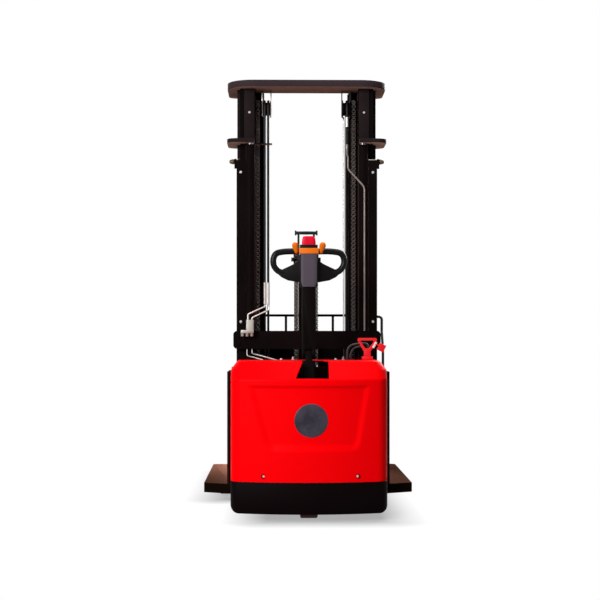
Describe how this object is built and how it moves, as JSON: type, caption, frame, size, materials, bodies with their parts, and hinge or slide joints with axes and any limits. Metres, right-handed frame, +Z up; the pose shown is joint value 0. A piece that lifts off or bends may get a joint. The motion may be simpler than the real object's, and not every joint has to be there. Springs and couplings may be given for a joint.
{
  "type": "walkie reach stacker",
  "caption": "Pedestrian straddle stacker with a steered drive unit and tiller, a nested full-free-lift mast and forks that reach forward on a scissor linkage.",
  "frame": {"origin": "centre of the truck's footprint box, on the floor", "axes": "+X to the operator's right, +Y from the tiller towards the load, +Z up"},
  "size_m": [0.91, 2.0866, 1.946],
  "materials": {
    "red_paint": "glossy",
    "black_paint": "satin",
    "mast_black": "satin",
    "skirt_black": "satin",
    "black_plastic": "matte",
    "panel_grey": "satin",
    "orange_plastic": "satin",
    "crimson_plastic": "satin",
    "red_plastic": "satin",
    "drive_tread": "matte",
    "load_tread": "matte",
    "hose_rubber": "matte",
    "bare_steel": "brushed",
    "zinc": "satin",
    "chain_steel": "oiled",
    "rod_chrome": "polished",
    "block_aluminium": "satin",
    "gear_iron": "cast",
    "battery_case": "satin"
  },
  "bodies": {
    "chassis": {"chassis_frame": "black_paint", "left_leg": "black_paint", "right_leg": "black_paint", "hood": "red_paint", "bumper_skirt": "skirt_black", "battery": "battery_case", "hydraulic_power_pack": "black_paint", "motor_controller": "block_aluminium", "connector_socket": "red_plastic", "battery_cables": "hose_rubber", "load_wheel_axles": "bare_steel", "outer_rails": "mast_black", "outer_cross_members": "mast_black", "cylinder_clamps": "mast_black", "lift_barrels": "mast_black", "valve_block": "block_aluminium", "steel_pipes": "zinc", "side_hose": "hose_rubber", "lift_chain_rear_runs": "chain_steel", "hose_rear_runs": "hose_rubber"},
    "steer_unit": {"drive_gearbox": "gear_iron", "drive_motor": "black_paint", "tiller_post": "black_paint"},
    "drive_wheel": {"drive_tyre": "drive_tread", "drive_hub": "gear_iron"},
    "tiller": {"tiller_arm": "black_paint", "tiller_head": "black_plastic", "tiller_grips": "black_plastic", "tiller_panel": "panel_grey", "control_band": "orange_plastic"},
    "belly_button": {"belly_button": "crimson_plastic"},
    "throttle": {"throttle_wings": "orange_plastic"},
    "left_load_wheel": {"left_load_wheel": "load_tread"},
    "right_load_wheel": {"right_load_wheel": "load_tread"},
    "connector_handle": {"connector_handle": "red_plastic"},
    "middle_mast": {"middle_rails": "mast_black", "middle_cross_members": "mast_black", "middle_head_box": "mast_black", "middle_rollers": "bare_steel", "lift_rods": "rod_chrome", "lift_chain_front_runs": "chain_steel", "hose_front_runs": "hose_rubber"},
    "mast_sheaves": {"mast_sheaves": "black_paint"},
    "inner_mast": {"inner_rails": "mast_black", "inner_cross_members": "mast_black", "inner_rollers": "bare_steel", "free_lift_barrel": "mast_black", "free_chain_rear_runs": "chain_steel"},
    "crosshead": {"free_lift_rod": "rod_chrome"},
    "free_lift_sheaves": {"free_lift_sheaves": "black_paint"},
    "mast_carriage": {"mast_carriage": "mast_black", "carriage_rollers": "bare_steel", "free_chain_front_runs": "chain_steel", "reach_cylinder": "mast_black"},
    "reach_rod": {"reach_rod": "rod_chrome"},
    "scissor_a": {"scissor_arms_a": "mast_black"},
    "scissor_b": {"scissor_arms_b": "mast_black"},
    "fork_carriage": {"fork_carriage": "mast_black", "forks": "black_paint"}
  },
  "joints": [
    {"name": "steer", "type": "hinge", "parent": "chassis", "child": "steer_unit", "pos_m": [0, -0.91329, 0.345], "axis": [0, 0, 1], "range_deg": [-90, 90]},
    {"name": "drive_spin", "type": "hinge", "parent": "steer_unit", "child": "drive_wheel", "pos_m": [0, -0.91329, 0.115], "axis": [1, 0, 0], "continuous": true},
    {"name": "tiller_tilt", "type": "hinge", "parent": "steer_unit", "child": "tiller", "pos_m": [0, -0.91329, 0.705], "axis": [1, 0, 0], "range_deg": [0, 70], "stiffness_Nm_per_rad": 14, "springref_deg": -22.92},
    {"name": "belly_press", "type": "slide", "parent": "tiller", "child": "belly_button", "axis": [0, 0, -1], "range_m": [0, 0.01], "stiffness_N_per_m": 1500, "springref_m": -0.003},
    {"name": "throttle_turn", "type": "hinge", "parent": "tiller", "child": "throttle", "pos_m": [0, -0.92729, 1.143], "axis": [1, 0, 0], "range_deg": [-30, 30], "stiffness_Nm_per_rad": 1.5},
    {"name": "left_load_spin", "type": "hinge", "parent": "chassis", "child": "left_load_wheel", "pos_m": [-0.388, -0.01529, 0.065], "axis": [1, 0, 0], "continuous": true},
    {"name": "right_load_spin", "type": "hinge", "parent": "chassis", "child": "right_load_wheel", "pos_m": [0.388, -0.01529, 0.065], "axis": [1, 0, 0], "continuous": true},
    {"name": "connector_pull", "type": "slide", "parent": "chassis", "child": "connector_handle", "axis": [0, 0, 1], "range_m": [0, 0.04]},
    {"name": "stage_lift", "type": "slide", "parent": "chassis", "child": "middle_mast", "axis": [0, 0, 1], "range_m": [0, 1.25], "deforming": ["lift_chain_rear_runs", "hose_rear_runs"]},
    {"name": "inner_lift", "type": "slide", "parent": "middle_mast", "child": "inner_mast", "axis": [0, 0, 1], "range_m": [0, 1.25], "deforming": ["lift_chain_front_runs", "hose_front_runs"]},
    {"name": "sheave_turn", "type": "hinge", "parent": "middle_mast", "child": "mast_sheaves", "pos_m": [0, -0.42329, 1.833], "axis": [1, 0, 0], "continuous": true},
    {"name": "free_lift", "type": "slide", "parent": "inner_mast", "child": "mast_carriage", "axis": [0, 0, 1], "range_m": [0, 1.1], "deforming": ["free_chain_front_runs"]},
    {"name": "crosshead_lift", "type": "slide", "parent": "inner_mast", "child": "crosshead", "axis": [0, 0, 1], "range_m": [0, 0.55], "deforming": ["free_chain_rear_runs"]},
    {"name": "free_sheave_turn", "type": "hinge", "parent": "crosshead", "child": "free_lift_sheaves", "pos_m": [0, -0.32729, 1.14], "axis": [1, 0, 0], "continuous": true},
    {"name": "reach", "type": "hinge", "parent": "mast_carriage", "child": "scissor_a", "pos_m": [0, -0.20829, 0.15], "axis": [-1, 0, 0], "range_deg": [0, 54]},
    {"name": "scissor_cross", "type": "hinge", "parent": "scissor_a", "child": "scissor_b", "pos_m": [0, -0.16515, 0.45698], "axis": [1, 0, 0], "range_deg": [0, 108]},
    {"name": "fork_level", "type": "hinge", "parent": "scissor_b", "child": "fork_carriage", "pos_m": [0, -0.12201, 0.15], "axis": [-1, 0, 0], "range_deg": [0, 54]},
    {"name": "reach_stroke", "type": "slide", "parent": "mast_carriage", "child": "reach_rod", "axis": [0, 0, -1], "range_m": [0, 0.0475]}
  ],
  "couplings": [
    {"joint": "inner_lift", "follows": "stage_lift", "ratio": 1},
    {"joint": "sheave_turn", "follows": "stage_lift", "rad_per_m": 27.778},
    {"joint": "crosshead_lift", "follows": "free_lift", "ratio": 0.5},
    {"joint": "free_sheave_turn", "follows": "free_lift", "rad_per_m": 14.706},
    {"joint": "scissor_cross", "follows": "reach", "ratio": 2},
    {"joint": "fork_level", "follows": "reach", "ratio": 1},
    {"joint": "reach_stroke", "follows": "reach", "m_per_rad": 0.05}
  ]
}
